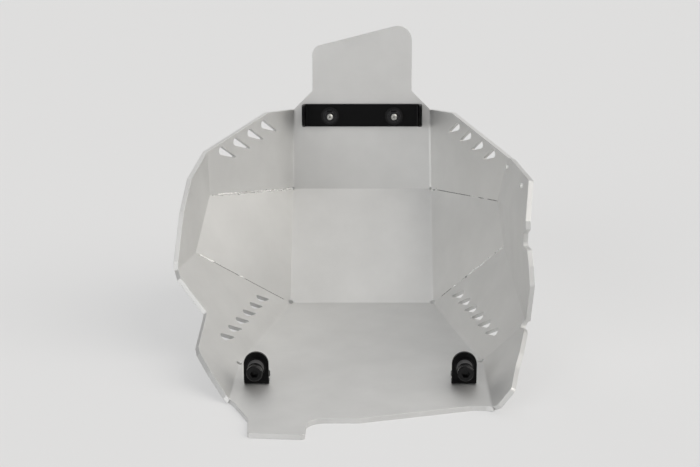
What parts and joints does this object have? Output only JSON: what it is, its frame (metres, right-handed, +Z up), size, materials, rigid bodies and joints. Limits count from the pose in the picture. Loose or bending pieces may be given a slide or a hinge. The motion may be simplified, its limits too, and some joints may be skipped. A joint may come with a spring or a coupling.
{
  "type": "motorcycle skid plate",
  "caption": "Folded sheet skid plate, a faceted tray with teardrop vents and a tall front tongue, with a bent mounting bar in front and bolted tabs with bushed pegs behind.",
  "frame": {"origin": "on the underside of the floor, in its centre plane, where its sides start to narrow towards the front", "axes": "+X to the machine's right, +Y forward, +Z up, square to the floor"},
  "size_m": [0.3003, 0.4315, 0.2606],
  "materials": {
    "plate_aluminium": "bead blasted, satin",
    "powder_coat": "black powder coat, satin",
    "zinc_steel": "bright zinc plate",
    "black_steel": "black oxide",
    "bushing_rubber": "dense rubber, matte"
  },
  "bodies": {
    "root": {"skid_plate": "plate_aluminium", "front_bar": "powder_coat", "wall_rivet_front": "plate_aluminium", "wall_rivet_rear": "plate_aluminium", "front_bolt_left": "zinc_steel", "front_washer_left": "black_steel", "front_flange_nut_left": "black_steel", "rear_tab_left": "powder_coat", "rear_tab_washer_left": "black_steel", "rear_bushing_left": "bushing_rubber", "rear_cap_screw_left": "black_steel", "rear_lock_nut_left": "zinc_steel", "tab_foot_bolt_left": "zinc_steel", "tab_foot_nut_left": "black_steel", "front_bolt_right": "zinc_steel", "front_washer_right": "black_steel", "front_flange_nut_right": "black_steel", "rear_tab_right": "powder_coat", "rear_tab_washer_right": "black_steel", "rear_bushing_right": "bushing_rubber", "rear_cap_screw_right": "black_steel", "rear_lock_nut_right": "zinc_steel", "tab_foot_bolt_right": "zinc_steel", "tab_foot_nut_right": "black_steel"}
  },
  "joints": []
}
